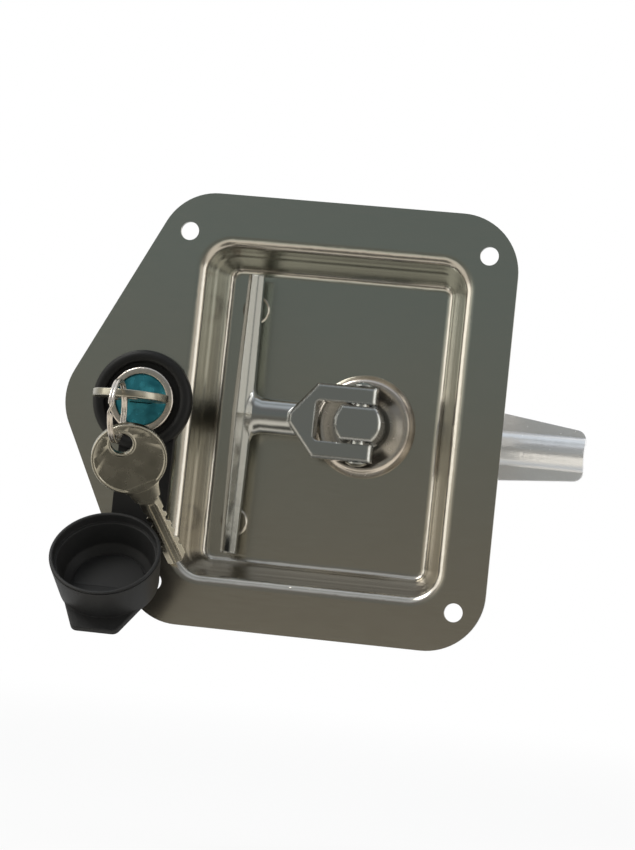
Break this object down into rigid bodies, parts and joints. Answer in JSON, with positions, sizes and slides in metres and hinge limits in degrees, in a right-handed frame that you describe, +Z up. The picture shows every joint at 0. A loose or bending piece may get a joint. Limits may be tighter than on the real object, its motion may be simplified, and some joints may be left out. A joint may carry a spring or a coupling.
{
  "type": "flush T-handle latch",
  "caption": "Flush latch in a recessed stainless pan with a folding T handle, pressed latch arm, offset key cylinder with keys and a rubber dust cap.",
  "frame": {"origin": "centre of the four-hole screw pattern, on the back face of the flange that seats on the door", "axes": "+X along the latch arm, +Z up, +Y into the door; the handle side faces -Y"},
  "size_m": [0.179, 0.0875, 0.1552],
  "materials": {
    "stainless": "satin",
    "chrome": "polished",
    "zinc_plate": "bright zinc",
    "zinc_casting": "satin",
    "brass": "plain",
    "nickel": "nickel plated",
    "rubber": "satin black"
  },
  "bodies": {
    "frame": {"pan": "stainless", "rosette_bushing": "chrome", "bushing_nut": "zinc_plate", "rear_bracket": "zinc_plate", "rivets": "zinc_plate", "stop_pin": "zinc_plate", "cylinder_housing": "chrome", "cylinder_washer": "zinc_plate", "cylinder_nut": "zinc_plate", "rubber_ring": "rubber", "cap_strap": "rubber"},
    "shaft": {"shaft": "chrome", "cross_pin": "chrome", "thrust_washer": "zinc_plate", "locking_plate": "zinc_plate", "shaft_sleeve": "zinc_plate", "latch_arm": "zinc_plate", "arm_washer": "zinc_plate", "arm_nut": "zinc_plate"},
    "handle": {"t_handle": "chrome"},
    "plug": {"plug": "zinc_casting", "wafers": "brass", "cam": "zinc_plate", "cam_washer": "zinc_plate", "cam_screw": "zinc_plate", "key_in_lock": "nickel"},
    "ring": {"split_ring": "nickel"},
    "hanging_key": {"key_hanging": "nickel"},
    "cap": {"dust_cap": "rubber"}
  },
  "joints": [
    {"name": "shaft_turn", "type": "hinge", "parent": "frame", "child": "shaft", "pos_m": [0.0127, 0, 0], "axis": [0, -1, 0], "range_deg": [0, 90]},
    {"name": "handle_lift", "type": "hinge", "parent": "shaft", "child": "handle", "pos_m": [0.0127, 0.0065, 0], "axis": [0, 0, 1], "range_deg": [0, 100]},
    {"name": "plug_turn", "type": "hinge", "parent": "frame", "child": "plug", "pos_m": [-0.0623, 0, 0.0008], "axis": [0, -1, 0], "range_deg": [0, 90]},
    {"name": "ring_sway", "type": "hinge", "parent": "plug", "child": "ring", "pos_m": [-0.0633, -0.02705, 0.0008], "axis": [0, -1, 0], "range_deg": [0, 15]},
    {"name": "key_sway", "type": "hinge", "parent": "ring", "child": "hanging_key", "pos_m": [-0.06304, -0.02914, -0.01395], "axis": [0, -1, 0], "range_deg": [0, 20]},
    {"name": "cap_swing", "type": "hinge", "parent": "frame", "child": "cap", "pos_m": [-0.0644, -0.0024, -0.0495], "axis": [1, 0, 0], "range_deg": [-3, 34], "stiffness_Nm_per_rad": 0.05}
  ],
  "couplings": [
    {"joint": "shaft_turn", "follows": "handle_lift", "ratio": 0.9}
  ]
}
